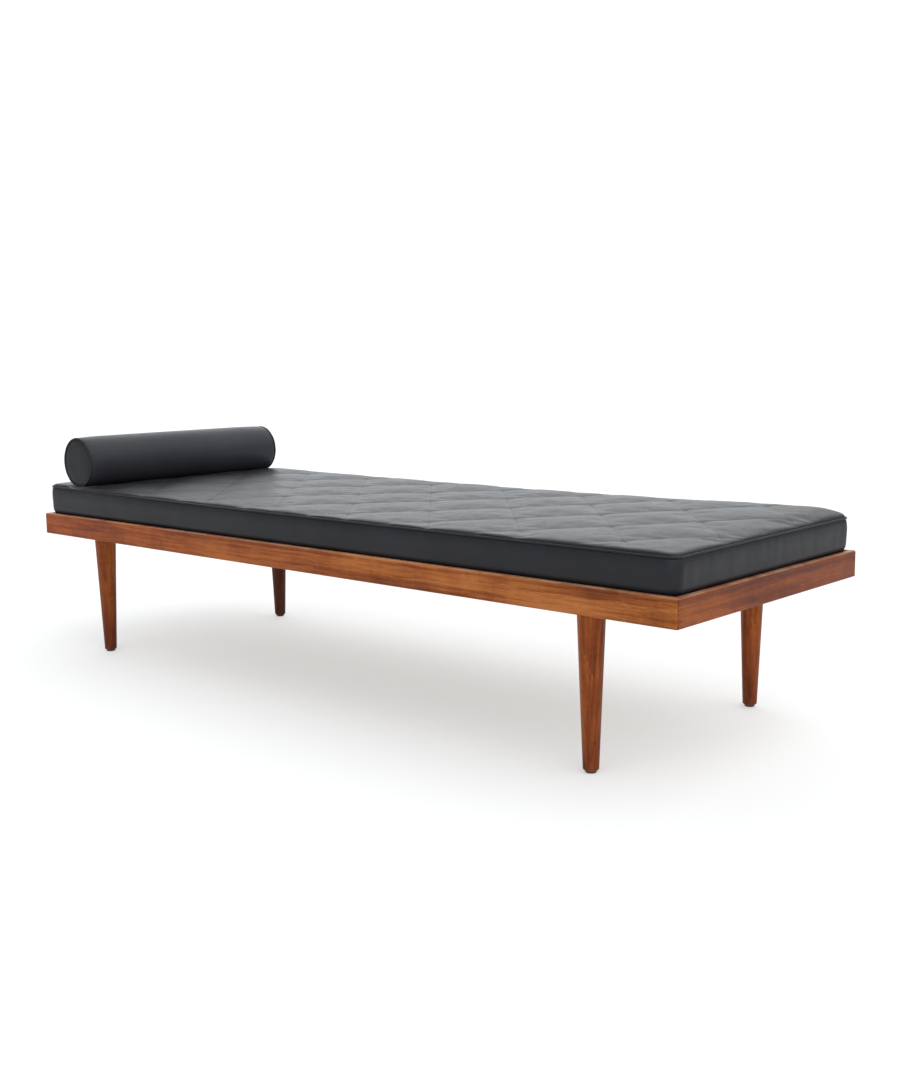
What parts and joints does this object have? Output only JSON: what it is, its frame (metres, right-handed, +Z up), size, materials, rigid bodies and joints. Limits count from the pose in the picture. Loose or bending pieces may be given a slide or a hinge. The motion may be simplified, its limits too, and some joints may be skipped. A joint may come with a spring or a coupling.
{
  "type": "daybed",
  "caption": "Daybed: mitred hardwood frame on round tapered legs, with a loose diamond-quilted black mattress and a round bolster at the head end.",
  "frame": {"origin": "on the floor, under the middle of the frame (bottom centre of the bounding box)", "axes": "+X along the bed from the head (bolster) end to the foot end, +Y from the front side to the rear side, +Z up"},
  "size_m": [1.9, 0.65, 0.5415],
  "materials": {
    "oiled_wood": "satin",
    "plain_wood": "matte",
    "dowel_wood": "matte",
    "black_leather": "satin",
    "welt": "satin",
    "base_cloth": "matte",
    "foam": "matte",
    "glide_plastic": "matte",
    "steel": "satin",
    "zip_teeth": "satin",
    "zip_metal": "satin"
  },
  "bodies": {
    "frame": {"centre_stretcher": "plain_wood", "corner_blocks": "plain_wood", "corner_splines": "dowel_wood", "foot_leg_bearer": "plain_wood", "foot_rail": "oiled_wood", "frame_dowels": "dowel_wood", "front_foot_glide": "glide_plastic", "front_foot_leg": "oiled_wood", "front_head_glide": "glide_plastic", "front_head_leg": "oiled_wood", "front_ledger_foot": "plain_wood", "front_ledger_head": "plain_wood", "front_ledger_middle": "plain_wood", "front_rail": "oiled_wood", "glide_nails": "steel", "head_leg_bearer": "plain_wood", "head_rail": "oiled_wood", "ledger_screws": "steel", "leg_bolts": "steel", "leg_inserts": "steel", "rear_foot_glide": "glide_plastic", "rear_foot_leg": "oiled_wood", "rear_head_glide": "glide_plastic", "rear_head_leg": "oiled_wood", "rear_ledger_foot": "plain_wood", "rear_ledger_head": "plain_wood", "rear_ledger_middle": "plain_wood", "rear_rail": "oiled_wood", "slat_01": "plain_wood", "slat_02": "plain_wood", "slat_03": "plain_wood", "slat_04": "plain_wood", "slat_05": "plain_wood", "slat_06": "plain_wood", "slat_07": "plain_wood", "slat_08": "plain_wood", "slat_09": "plain_wood", "slat_10": "plain_wood", "slat_11": "plain_wood", "slat_12": "plain_wood", "slat_13": "plain_wood", "slat_screws": "steel"},
    "mattress": {"mattress_base_panel": "base_cloth", "mattress_core": "foam", "mattress_piping": "welt", "mattress_side_band": "black_leather", "mattress_top_panel": "black_leather", "mattress_zip_chain": "zip_teeth"},
    "mattress_zip_slider": {"mattress_zip_slider": "zip_metal"},
    "mattress_zip_pull": {"mattress_zip_pull": "zip_metal"},
    "bolster": {"bolster_core": "foam", "bolster_front_end": "black_leather", "bolster_front_piping": "welt", "bolster_rear_end": "black_leather", "bolster_rear_piping": "welt", "bolster_sleeve": "black_leather", "bolster_zip_chain": "zip_teeth"},
    "bolster_zip_slider": {"bolster_zip_slider": "zip_metal"},
    "bolster_zip_pull": {"bolster_zip_pull": "zip_metal"}
  },
  "joints": [
    {"name": "mattress_lift", "type": "slide", "parent": "frame", "child": "mattress", "axis": [0, 0, 1], "range_m": [0, 0.3]},
    {"name": "mattress_zip_slide", "type": "slide", "parent": "mattress", "child": "mattress_zip_slider", "axis": [1, 0, 0], "range_m": [-1.38, 0]},
    {"name": "mattress_pull_swing", "type": "hinge", "parent": "mattress_zip_slider", "child": "mattress_zip_pull", "pos_m": [0.69, 0.3188, 0.376], "axis": [1, 0, 0], "range_deg": [0, 170]},
    {"name": "bolster_lift", "type": "slide", "parent": "mattress", "child": "bolster", "axis": [0, 0, 1], "range_m": [0, 0.3]},
    {"name": "bolster_zip_slide", "type": "slide", "parent": "bolster", "child": "bolster_zip_slider", "axis": [0, 1, 0], "range_m": [-0.48, 0]},
    {"name": "bolster_pull_swing", "type": "hinge", "parent": "bolster_zip_slider", "child": "bolster_zip_pull", "pos_m": [-0.8908, 0.233, 0.4759], "axis": [0, 1, 0], "range_deg": [0, 170]}
  ]
}
